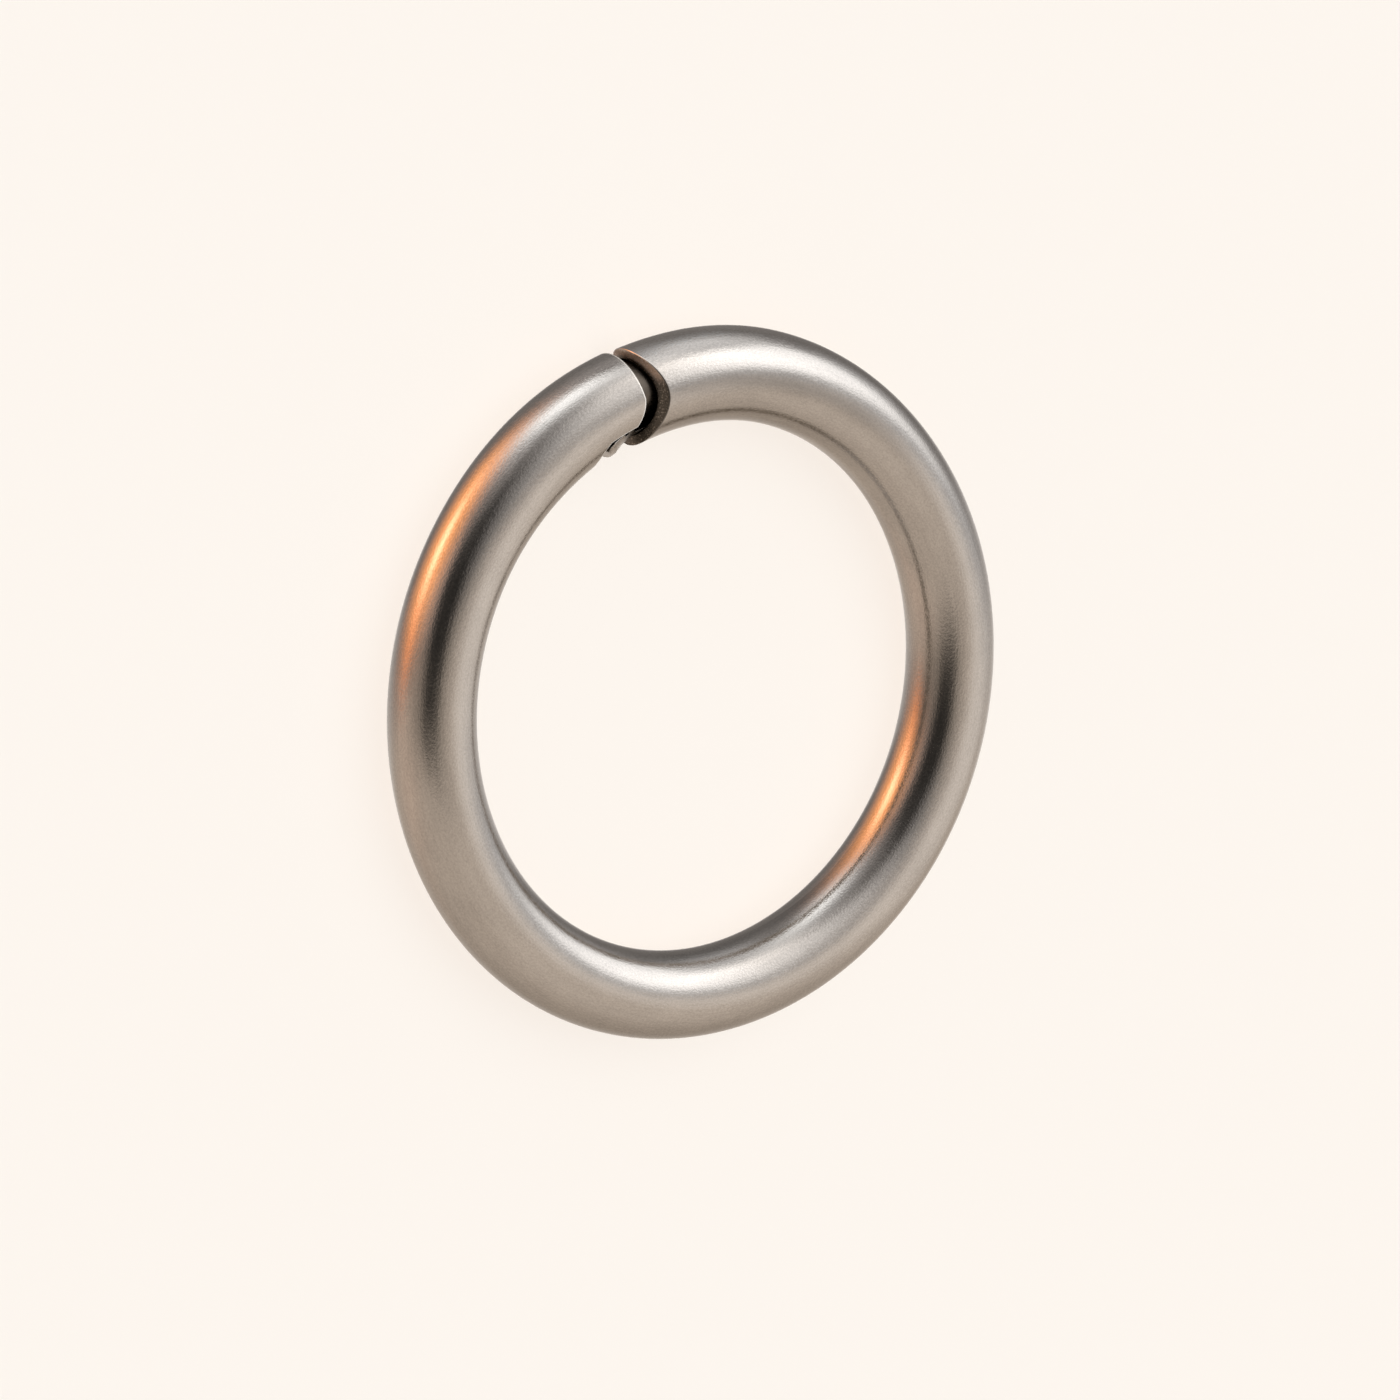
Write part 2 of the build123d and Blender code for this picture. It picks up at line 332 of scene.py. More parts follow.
def notch_plan(sizes):
    """The notch seen from above, as ring angle against radius: the corner and the ramp as curves, and the two
    ends of the floor between them."""
    path = path_radius_plain(sizes)
    end = sizes.notched_end_angle
    rim = end_radii(sizes)[0]
    floor_radius = path + rim * cos(sizes.notch_tube_angle)
    corner_radius = path + sizes.notch_corner_start
    corner_end = end + sizes.notch_corner_length / path
    floor_end = end + sizes.notch_floor_length / path
    ramp_end = floor_end + sizes.notch_ramp_length / path
    bulged = (corner_radius + floor_radius) / 2 - sizes.notch_corner_bulge
    corner = arc_through(
        (end, corner_radius), ((end + corner_end) / 2, bulged), (corner_end, floor_radius), 60)
    ramp_middle = floor_end + HOLLOW_PLACE_SHARE * sizes.notch_ramp_length / path
    ramp_depth = HOLLOW_DEPTH_SHARE * sizes.notch_ramp_length
    clear_radius = path - rim - CLEARANCE
    ramp = arc_through(
        (floor_end, floor_radius), (ramp_middle, floor_radius - ramp_depth), (ramp_end, clear_radius), 60)
    return {"corner": corner, "ramp": ramp, "floor": (corner_end, floor_end),
            "corner_radius": corner_radius, "floor_radius": floor_radius}


def notched_ring(radius, zone, floor_ring, plan, sizes):
    """The ring angle of the notched end's cut at a distance from the hoop's axis: the square cut, the corner
    or the ramp by zone, and on the floor the ring angle that comes with the column."""
    corner = np.interp(-radius, -plan["corner"][1], plan["corner"][0])
    ramp = np.interp(-radius, -plan["ramp"][1], plan["ramp"][0])
    square = np.full_like(corner, sizes.notched_end_angle)
    return np.select([zone == 0, zone == 1, zone == 2], [square, corner, floor_ring], ramp)


def columns(count):
    """Columns round the tube, as an even far angle, the zone of the notched end that each belongs to (square
    cut, corner, floor, ramp) and its share of that zone. The lower half mirrors the upper one."""
    half = count // 2
    upper = np.linspace(0.0, pi, half + 1)
    zone = np.clip(np.searchsorted(ZONE_BOUNDS, upper + 1e-9, side="right") - 1, 0, 3)
    share = (upper - ZONE_BOUNDS[zone]) / (ZONE_BOUNDS[zone + 1] - ZONE_BOUNDS[zone])
    mirrored = slice(half - 1, 0, -1)
    far = np.concatenate([upper, FULL_TURN - upper[mirrored]])
    zone = np.concatenate([zone, zone[mirrored]])
    share = np.concatenate([share, share[mirrored]])
    return far, zone, share, np.where(far <= pi, 1.0, -1.0)


def notched_edge(rho, far, zone, share, side, plan, sizes):
    """The edge of the notched end on a round surface of radius rho: its tube angle goes evenly through each
    zone, from the outer side to the inner one, and stands still along the floor."""
    path = path_radius_plain(sizes)
    corner = np.arccos((plan["corner_radius"] - path) / rho)
    floor = np.arccos((plan["floor_radius"] - path) / rho)
    lows = np.array([0.0, corner, floor, floor])[zone]
    highs = np.array([corner, floor, floor, pi])[zone]
    angle = lows + share * (highs - lows)
    floor_ring = plan["floor"][0] + share * (plan["floor"][1] - plan["floor"][0])
    ring = notched_ring(path + rho * np.cos(angle), zone, floor_ring, plan, sizes)
    return ring, np.where(side > 0, angle, FULL_TURN - angle), floor_ring


def arched_ring(out, up, sizes):
    """The arched end's cut: back from the end by one arch of the given radius across the height, and by the
    slant's tangent across the width."""
    slant = sizes.arch_slant_angle
    arch = np.sqrt(sizes.arch_radius ** 2 - up ** 2) - sizes.arch_radius
    along = (arch - out * np.sin(slant)) / np.cos(slant)
    return FULL_TURN - sizes.arched_end_angle + along / (end_radii(sizes)[2] + out)


def set_back(ring, angle, rho, path, distance, forward):
    """An edge curve moved along its round surface, square to itself, by a distance. Forward is 1 where the
    surface lies at greater ring angles."""
    along, around = ring * path, np.unwrap(angle) * rho
    step_along = np.roll(along, -1) - np.roll(along, 1)
    step_around = np.roll(around, -1) - np.roll(around, 1)
    step_around = np.where(step_around < 0, step_around + FULL_TURN * rho, step_around)
    length = np.hypot(step_along, step_around)
    moved_along = along + forward * distance * step_around / length
    moved_around = around - forward * distance * step_along / length
    return moved_along / path, moved_around / rho


def round_over(first, edge, last, count):
    """Rows of a rounded edge: the quadratic curve from first to last that leans towards the sharp edge,
    without its two end rows."""
    t = np.linspace(0, 1, count + 2)[1:-1, None, None]
    return (1 - t) ** 2 * first + 2 * t * (1 - t) * edge + t ** 2 * last


def skin_rows(start, finish, far, middle_from, middle_to, counts, thinner, sizes):
    """A round surface from one edge curve to the other. Its rows run from the first edge to even columns at
    middle_from, on to middle_to, and from there to the second edge. Radius and path follow the tube's laws."""
    begin = np.linspace(0, 1, counts[0], endpoint=False)[:, None] ** 1.4
    rings = [start[0] + begin * (middle_from - start[0])]
    angles = [start[1] + begin * (far - start[1])]
    middle = np.linspace(middle_from, middle_to, counts[1], endpoint=False)[:, None]
    rings.append(middle + 0 * far)
    angles.append(far + 0 * middle)
    end = 1 - np.linspace(1, 0, counts[2])[:, None] ** 1.4
    rings.append(middle_to + end * (finish[0] - middle_to))
    angles.append(far + end * (finish[1] - far))
    ring, angle = np.concatenate(rings), np.concatenate(angles)
    return on_tube(ring, path_radius(ring, sizes), tube_radius(ring, sizes) - thinner, angle, sizes)


def closed_faces(rows, count, close_rows):
    """Quads of a grid of rows and columns whose columns close, and whose rows close if asked. They face along
    the row direction crossed with the column direction."""
    row = np.arange(rows if close_rows else rows - 1)[:, None]
    column = np.arange(count)[None, :]
    next_row, next_column = (row + 1) % rows, (column + 1) % count
    quads = [row * count + column, next_row * count + column,
             next_row * count + next_column, row * count + next_column]
    return np.stack(np.broadcast_arrays(*quads), axis=-1).reshape(-1, 4)


def straightened(points, lowest_ring, sizes):
    """Where each point would lie if the hoop were unrolled: its length along the path, its distance outwards
    from it and its height above it, in millimetres. The unrolled tube starts at lowest_ring."""
    ring = np.arctan2(points[:, 1], points[:, 0]) - GAP_DIRECTION
    ring = lowest_ring + (ring - lowest_ring) % FULL_TURN
    path = path_radius_plain(sizes)
    out = np.hypot(points[:, 0], points[:, 1]) - path
    return np.stack([ring * path, out, points[:, 2] - sizes.centre_height], axis=-1) / MILLIMETRE


def add_piece(name, grid, bands, materials, lowest_ring, sizes, node):
    """Makes a mesh piece from a grid of points and lets it stand for a CAD node. With bands, the material of
    each row, the rows close too. Without them the first and last rows are poles or caps, which are closed."""
    rows, count = grid.shape[:2]
    points = grid.reshape(-1, 3)
    faces = closed_faces(rows, count, bands is not None)
    mesh = bpy.data.meshes.new(name)
    mesh.from_pydata(points.tolist(), [], faces.tolist())
    for material in materials:
        mesh.materials.append(material)
    if bands is not None:
        mesh.polygons.foreach_set("material_index", np.repeat(bands, count).astype(np.int32))
    mesh.polygons.foreach_set("use_smooth", np.ones(len(faces), bool))
    attribute = mesh.attributes.new(PLACE, "FLOAT_VECTOR", "POINT")
    attribute.data.foreach_set("vector", straightened(points, lowest_ring, sizes).astype(np.float32).ravel())
    if bands is None:
        close_poles(mesh)
    piece = bpy.data.objects.new(name, mesh)
    bpy.context.scene.collection.objects.link(piece)
    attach(piece, "root")
    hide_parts(node)


def close_poles(mesh):
    """Merges the points that a pole's row or a cap's middle line holds more than once."""
    work = bmesh.new()
    work.from_mesh(mesh)
    bmesh.ops.remove_doubles(work, verts=work.verts, dist=1e-8)
    work.to_mesh(mesh)
    work.free()


def build_tube(sizes, look):
    """The tube as one closed grid. Its rows run along the outer skin from the notched end to the arched one,
    over the rounded rim, across the cut face and back along the bore."""
    count = 192
    far, zone, share, side = columns(count)
    plan = notch_plan(sizes)
    path = path_radius_plain(sizes)
    rounding = sizes.rim_rounding
    rows, bands = [], []

    def lay(block, band):
        rows.append(block)
        bands.append(np.full(len(block), band))

    # The notched end: edges of the skin and the bore, and the cut face between them
    end_radius, arch_radius, arch_path = end_radii(sizes)
    bore_radius = end_radius - sizes.wall
    skin_ring, skin_angle, floor_ring = notched_edge(end_radius, far, zone, share, side, plan, sizes)
    bore_ring, bore_angle, _ = notched_edge(bore_radius, far, zone, share, side, plan, sizes)

    def notched_point(out, up):
        ring = notched_ring(path + out, zone, floor_ring, plan, sizes)
        return place(ring, path + out, sizes.centre_height + up)

    skin_edge = on_tube(skin_ring, path, end_radius, skin_angle, sizes)
    bore_edge = on_tube(bore_ring, path, bore_radius, bore_angle, sizes)
    worn = sizes.worn_rim_rounding
    skin_start = set_back(skin_ring, skin_angle, end_radius, path, worn, 1)
    bore_start = set_back(bore_ring, bore_angle, bore_radius, path, rounding, 1)

    # The arched end
    arch_bore = arch_radius - sizes.wall

    def arched_edge(rho):
        return arched_ring(*out_and_up(rho, far), sizes)

    def arched_point(rho):
        return on_tube(arched_edge(rho), arch_path, rho, far, sizes)

    skin_finish = set_back(arched_edge(arch_radius), far, arch_radius, arch_path, rounding, -1)
    bore_finish = set_back(arched_edge(arch_bore), far, arch_bore, arch_path, rounding, -1)

    # The skin
    skin = skin_rows(skin_start, skin_finish, far, radians(30), radians(332), (44, 230, 26), 0.0, sizes)
    lay(skin, 0)

    # The arched end's outer rim, cut face and inner rim
    face_rims = [arched_point(arch_radius - rounding), arched_point(arch_bore + rounding)]
    lay(round_over(skin[-1], arched_point(arch_radius), face_rims[0], 5), 4)
    across = np.linspace(0, 1, 7)
    lay(np.stack([arched_point(arch_radius - rounding + s * (2 * rounding - sizes.wall)) for s in across]), 1)
    bore = skin_rows(bore_start, bore_finish, far, radians(30), radians(340), (24, 84, 14), sizes.wall, sizes)
    bore = bore[::-1]
    lay(round_over(face_rims[1], arched_point(arch_bore), bore[0], 4), 1)

    # The bore, back to the notched end
    lay(bore, 2)

    # The notched end's inner rim, cut face and outer rim
    inner_out, inner_up = out_and_up(bore_radius + rounding, bore_angle)
    outer_out, outer_up = out_and_up(end_radius - worn, skin_angle)
    face = [notched_point(inner_out + s * (outer_out - inner_out), inner_up + s * (outer_up - inner_up))
            for s in across]
    lay(round_over(bore[-1], bore_edge, face[0], 4), 1)
    lay(np.stack(face), 1)
    lay(round_over(face[-1], skin_edge, skin[0], 7), 3)

    add_piece(
        "tube", np.concatenate(rows), np.concatenate(bands),
        [satin_steel("satin_skin", look.skin_tone, look.skin_roughness, look.grain_height),
         milled_steel("milled_face", look.cut_tone, look.tint_tone, look.rim_tone),
         # The bore's tone is the cut faces' tone darkened as painted shade inside the tube
         metal("drawn_bore", [BORE_PAINTED_SHADE * part for part in look.cut_tone], 0.34, 2.5e-6, 1.0, 1.4, 0.8),
         metal("worn_rim", look.rim_tone, 0.30, 1.0e-6, 0.2, 0.5, 0.2, 0.45),
         edge_steel("bright_rim", look.skin_tone)],
        0.0, sizes, "hoop_tube")


def build_pin(sizes, catch, look):
    """The pin as circles along the hoop's path: from the pole of the spigot's tip over its lead to the spigot,
    the shoulder, the shank and the pole at its end."""
    path = path_radius_plain(sizes)
    notched_radius, arched_radius, _ = end_radii(sizes)
    spigot = arched_radius - sizes.wall - 2 * catch.fit - catch.tongue_root_thickness
    shank = notched_radius - sizes.wall - catch.fit
    tip = -sizes.arched_end_angle - catch.spigot_reach / path
    shoulder = sizes.notched_end_angle + SHOULDER_DEPTH / path
    last = shoulder + catch.shank_length / path
    soft = PIN_ROUNDING / path
    spigot_ring = np.linspace(tip + PIN_LEAD / path, shoulder - soft, 60)
    shank_ring = np.linspace(shoulder + soft, last - soft, 24)
    step = shank - spigot
    ring = np.concatenate([[tip] * 3, spigot_ring, [shoulder] * 2, shank_ring, [last] * 3])
    rho = np.concatenate([
        [0.0, (spigot - PIN_LEAD) / 2, spigot - PIN_LEAD], np.full(60, spigot),
        [spigot + 0.2 * step, spigot + 0.8 * step], np.full(24, shank),
        [shank - PIN_END_ROUNDING, shank / 2, 0.0]])
    angle = np.linspace(0, FULL_TURN, 96, endpoint=False)[None, :]
    points = on_tube(ring[:, None] + 0 * angle, path, rho[:, None], angle, sizes)
    add_piece(
        "pin", points, None, [turned_steel("turned_pin", look.shaded_pin_tone)],
        -pi, sizes, "core_pin")


def build_tongue(sizes, catch, look):
    """The tongue as sections along the hoop's path. Each is a band round the tube's centre, between an outer
    and an inner arc and two upright edges, with its four corners rounded."""
    path = path_radius_plain(sizes)
    plan = notch_plan(sizes)
    end = sizes.notched_end_angle
    notched_radius, arched_radius, arched_path = end_radii(sizes)
    head = sizes.notch_floor_length + catch.tongue_past_floor_length
    gap = path * (end + sizes.arched_end_angle)

    # Lengths of the rows and how far the edges stand back there: the root, then the head with its pockets
    stops = np.concatenate([[-gap - catch.tongue_root_length, -gap, RISE_START], HEAD_ROWS[:, 0] * head])
    backs = np.concatenate([[TONGUE_ROOT_SET_BACK] * 3, HEAD_ROWS[:, 1] * catch.tongue_pocket_depth])
    steps = np.linspace(0, len(stops) - 1, 8 * (len(stops) - 1) + 1)
    length = np.interp(steps, np.arange(len(stops)), stops)[:, None]
    back = np.interp(steps, np.arange(len(stops)), backs)[:, None]
    share = np.clip((length - RISE_START) / (SHOULDER_DEPTH - RISE_START), 0.0, 1.0)
    centre = arched_path + share * (path - arched_path)
    root_outer = arched_radius - sizes.wall - catch.fit
    outer = root_outer + share * (notched_radius + catch.tongue_proud_height - root_outer)
    root_inner = root_outer - catch.tongue_root_thickness
    inner = root_inner + share * (notched_radius - sizes.wall - root_inner)
    edge = plan["floor_radius"] - catch.fit - back - centre

    # One section: the outer arc, a rounded edge, the inner arc and a rounded edge. Spine is how far each point
    # lies from the upper edge to the lower one, for the caps
    soft = TONGUE_ROUNDING
    turn = np.linspace(0, 1, 28)[None, :]
    outer_angle, inner_angle = np.arccos(edge / outer), np.arccos(edge / inner)
    outer_from, inner_from = outer_angle + soft / outer, inner_angle + soft / inner
    sweep_out = outer_from + turn * 2 * (pi - outer_from)
    sweep_in = FULL_TURN - inner_from - turn * 2 * (pi - inner_from)
    corner_out = np.sqrt(outer ** 2 - edge ** 2)
    corner_in = np.sqrt(inner ** 2 - edge ** 2)

    def corner(start_out, start_up, corner_up, finish_up):
        t = np.linspace(0, 1, 6)[None, 1:-1]
        out = (1 - t) ** 2 * start_out + 2 * t * (1 - t) * edge + t ** 2 * edge
        return out, (1 - t) ** 2 * start_up + 2 * t * (1 - t) * corner_up + t ** 2 * finish_up

    outer_out, outer_up = out_and_up(outer, sweep_out)
    inner_out, inner_up = out_and_up(inner, sweep_in)
    low_far = corner(outer_out[:, -1:], outer_up[:, -1:], -corner_out, -corner_out + soft)
    low_near = corner(inner_out[:, :1], inner_up[:, :1], -corner_in, -corner_in - soft)
    high_near = corner(inner_out[:, -1:], inner_up[:, -1:], corner_in, corner_in + soft)
    high_far = corner(outer_out[:, :1], outer_up[:, :1], corner_out, corner_out - soft)
    out = np.concatenate([outer_out, low_far[0], edge, low_near[0][:, ::-1],
                          inner_out, high_near[0], edge, high_far[0][:, ::-1]], axis=1)
    low_middle, high_middle = -(corner_out + corner_in) / 2, (corner_out + corner_in) / 2
    up = np.concatenate([outer_up, low_far[1], low_middle, low_near[1][:, ::-1],
                         inner_up, high_near[1], high_middle, high_far[1][:, ::-1]], axis=1)
    spine = np.concatenate([turn[0], np.ones(9), 1 - turn[0], np.zeros(9)])[None, :]

    # The caps close the section onto its middle line
    middle_radius = (outer + inner) / 2
    middle_angle = np.arccos(edge / middle_radius) + soft / middle_radius
    middle_sweep = middle_angle + spine * 2 * (pi - middle_angle)
    middle_out, middle_up = out_and_up(middle_radius, middle_sweep)
    ring = end + length / path + 0 * out
    tip_inside = path - notched_radius - catch.tongue_proud_height
    radius = centre + out

    def bevelled(ring, radius):
        """About the last half of the head is pressed back evenly, so that the tip lies on the bevel's plane."""
        tip = end + head / path
        lean = (plan["floor_radius"] - radius) / (plan["floor_radius"] - tip_inside)
        last = tip - np.clip(lean, 0, 1) * catch.tongue_tip_length / path
        from_ring = end + BEVEL_START_SHARE * head / path
        part = np.clip((ring - from_ring) / (tip - from_ring), 0, 1)
        return np.where(ring > from_ring, from_ring + part * (last - from_ring), ring)

    def ends(row, amount):
        mixed_out = out[row] + amount * (middle_out[row] - out[row])
        mixed_up = up[row] + amount * (middle_up[row] - up[row])
        mixed_radius = centre[row] + mixed_out
        return place(bevelled(ring[row], mixed_radius), mixed_radius, sizes.centre_height + mixed_up)

    body = place(bevelled(ring, radius), radius, sizes.centre_height + up)
    root_cap = np.stack([ends(0, amount) for amount in (1.0, 0.6, 0.2)])
    tip_cap = np.stack([ends(-1, amount) for amount in (0.0, 0.16, 0.6, 1.0)])
    inward = body[-2] + 0.6 * (body[-1] - body[-2])
    rounded = round_over(inward, tip_cap[0], tip_cap[1], 4)
    points = np.concatenate([root_cap, body[:-1], inward[None], rounded, tip_cap[1:]])
    add_piece(
        "tongue", points, None, [tongue_steel("satin_tongue", look.skin_tone, look.grain_height)],
        -pi, sizes, "catch_tongue")


def add_node(tree, kind, settings=None, inputs=None):
    """A node of a kind, with its settings and the values or links of its inputs."""
    node = tree.nodes.new(kind)
    for key, value in (settings or {}).items():
        setattr(node, key, value)
    for key, value in (inputs or {}).items():
        if isinstance(value, bpy.types.NodeSocket):
            tree.links.new(value, node.inputs[key])
        else:
            node.inputs[key].default_value = value
    return node


def math_node(tree, operation, *values):
    """The output of a Math node on one to three values."""
    node = add_node(tree, "ShaderNodeMath", {"operation": operation}, dict(enumerate(values)))
    return node.outputs[0]


def scaled(tree, colour, amount):
    """A colour times a value."""
    node = add_node(tree, "ShaderNodeVectorMath", {"operation": "SCALE"}, {0: colour, "Scale": amount})
    return node.outputs[0]


def smooth(tree, value, start, finish, low=0.0, high=1.0):
    """From low to high, along a smooth step, as a value goes from start to finish."""
    node = add_node(tree, "ShaderNodeMapRange", {"interpolation_type": "SMOOTHSTEP"},
                    {"Value": value, "From Min": start, "From Max": finish, "To Min": low, "To Max": high})
    return node.outputs[0]


def ramp(tree, place, axis, start, finish, low, high):
    """From low to high, smoothly, as one coordinate of the unrolled tube goes from start to finish."""
    along = add_node(tree, "ShaderNodeSeparateXYZ", None, {0: place}).outputs[axis]
    return smooth(tree, along, start, finish, low, high)


def blend(tree, under, over, amount, kind="MIX", label=""):
    """One colour laid on another by an amount, mixed or added."""
    whole = [value if isinstance(value, bpy.types.NodeSocket) else (*value, 1.0) for value in (under, over)]
    settings = {"data_type": "RGBA", "blend_type": kind, "clamp_factor": False, "label": label}
    return add_node(tree, "ShaderNodeMix", settings, {0: amount, 6: whole[0], 7: whole[1]}).outputs[2]


def falloff(tree, differences):
    """The exponential of minus a sum. Each term is a difference over its half width, to a power."""
    total = None
    for difference, half, power in differences:
        share = math_node(tree, "ABSOLUTE", math_node(tree, "DIVIDE", difference, half))
        part = math_node(tree, "POWER", share, power)
        total = part if total is None else math_node(tree, "ADD", total, part)
    return math_node(tree, "EXPONENT", math_node(tree, "MULTIPLY", total, -1.0))


def new_tree(made):
    """The emptied node tree of a new material or world."""
    made.use_nodes = True
    made.node_tree.nodes.clear()
    return made.node_tree


def finish_tree(tree, kind, shader):
    """Links a shader node to a new output node's surface."""
    tree.links.new(shader.outputs[0], add_node(tree, kind).inputs["Surface"])


def new_group(name, inputs, outputs):
    """An empty shader node group with named float, colour or vector sockets."""
    group = bpy.data.node_groups.new(name, "ShaderNodeTree")
    for label, kind, value in inputs:
        socket = group.interface.new_socket(label, in_out="INPUT", socket_type=kind)
        if value is not None:
            socket.default_value = value
    for label, kind in outputs:
        group.interface.new_socket(label, in_out="OUTPUT", socket_type=kind)
    return group, group.nodes.new("NodeGroupInput"), group.nodes.new("NodeGroupOutput")


def grain_group():
    """The grain of a brushed and bead-blasted metal: fine lines along the tube, fine specks and soft clouds,
    all read in the unrolled tube's own millimetres."""
    if "satin grain" in bpy.data.node_groups:
        return bpy.data.node_groups["satin grain"]
    group, given, result = new_group(
        "satin grain",
        [("Place", "NodeSocketVector", None), ("Tone", "NodeSocketColor", (0.6, 0.6, 0.6, 1.0)),
         ("Roughness", "NodeSocketFloat", 0.2), ("Lines", "NodeSocketFloat", 1.0),
         ("Specks", "NodeSocketFloat", 1.0), ("Clouds", "NodeSocketFloat", 1.0)],
        [("Colour", "NodeSocketColor"), ("Roughness", "NodeSocketFloat"), ("Height", "NodeSocketFloat")])
    place_in = given.outputs["Place"]

    def noise(scale, stretch, detail):
        moved = add_node(group, "ShaderNodeVectorMath", {"operation": "MULTIPLY"},
                         {0: place_in, 1: (scale / stretch, scale, scale)})
        made = add_node(group, "ShaderNodeTexNoise", {"noise_dimensions": "3D"},
                        {"Vector": moved.outputs[0], "Scale": 1.0, "Detail": detail, "Roughness": 0.6})
        return math_node(group, "SUBTRACT", made.outputs["Fac"], 0.5)

    lines = math_node(group, "MULTIPLY", noise(16.0, 14.0, 3.0), given.outputs["Lines"])
    specks = math_node(group, "MULTIPLY", noise(24.0, 1.4, 2.0), given.outputs["Specks"])
    clouds = math_node(group, "MULTIPLY", noise(1.7, 1.8, 3.0), given.outputs["Clouds"])
    fine = math_node(group, "ADD", lines, specks)
    group.links.new(fine, result.inputs["Height"])
    dulled = math_node(group, "MULTIPLY_ADD", clouds, 0.14, given.outputs["Roughness"])
    group.links.new(math_node(group, "MULTIPLY_ADD", fine, 0.20, dulled), result.inputs["Roughness"])
    toned = math_node(group, "MULTIPLY_ADD", clouds, 0.22, 1.0)
    toned = math_node(group, "MULTIPLY_ADD", fine, 0.45, toned)
    group.links.new(scaled(group, given.outputs["Tone"], toned), result.inputs["Colour"])
    return group


def metal(name, tone, roughness, height, lines, specks, clouds, metallic=1.0, shading=None):
    """A metal whose colour, roughness and fine relief come from the grain group. Shading may change the colour
    and the metallic share over the surface, from the tree, the place and the grain's colour."""
    material = bpy.data.materials.new(name)
    tree = new_tree(material)
    placed = add_node(tree, "ShaderNodeAttribute", {"attribute_name": PLACE, "attribute_type": "GEOMETRY"})
    grain = add_node(tree, "ShaderNodeGroup", {"node_tree": grain_group()},
                     {"Place": placed.outputs["Vector"], "Tone": (*tone, 1.0), "Roughness": roughness,
                      "Lines": lines, "Specks": specks, "Clouds": clouds})
    colour = grain.outputs["Colour"]
    if shading:
        colour, metallic = shading(tree, placed.outputs["Vector"], colour)
    bump = add_node(tree, "ShaderNodeBump", None,
                    {"Height": grain.outputs["Height"], "Strength": 1.0, "Distance": height})
    shader = add_node(tree, "ShaderNodeBsdfPrincipled", None,
                      {"Base Color": colour, "Metallic": metallic,
                       "Roughness": grain.outputs["Roughness"], "Normal": bump.outputs["Normal"]})
    finish_tree(tree, "ShaderNodeOutputMaterial", shader)
    return material


def patch(tree, place, length, angle, length_half, angle_half, amount):
    """One, plus an amount on a soft patch of the unrolled tube, where the falloff takes the distance along the
    tube to the power of three, and the tube angle to the power of two."""
    parts = add_node(tree, "ShaderNodeSeparateXYZ", None, {0: place}).outputs
    around = math_node(tree, "ARCTAN2", parts["Z"], parts["Y"])
    along_off = math_node(tree, "SUBTRACT", parts["X"], length)
    around_off = math_node(tree, "SUBTRACT", around, radians(angle))
    fall = falloff(tree, ((along_off, length_half, 3.0), (around_off, radians(angle_half), 2.0)))
    return math_node(tree, "MULTIPLY_ADD", fall, amount, 1.0)


def satin_steel(name, tone, roughness, height):
    """The tube's satin skin with painted reflections: a little darker or brighter on nine soft patches, two
    beside the ends, three on the upper side and four on the inner side."""
    def shading(tree, place, colour):
        for spot in PAINTED_REFLECTION_PATCHES:
            colour = scaled(tree, colour, patch(tree, place, *spot))
        return colour, 1.0
    return metal(name, tone, roughness, height, 0.45, 1.1, 1.0, shading=shading)


def tongue_steel(name, tone, height):
    """The tongue's satin with painted shade and highlight: darker towards the root, bright on the tip's ramp
    and darker again at its end.
    """
    def shading(tree, place, colour):
        # Painted shade towards the root and at the end, and a painted highlight on the tip's ramp
        painted_light_scale = ramp(tree, place, "X", 0.50, 0.95, 0.30, 0.92)
        painted_light_scale = math_node(tree, "MULTIPLY", painted_light_scale, ramp(tree, place, "X", 1.06, 1.22, 1.0, 1.28))
        painted_light_scale = math_node(tree, "MULTIPLY", painted_light_scale, ramp(tree, place, "X", 1.20, 1.34, 1.0, 0.66))
        return scaled(tree, colour, painted_light_scale), 1.0
    return metal(name, tone, 0.26, height, 0.45, 1.1, 0.9, shading=shading)


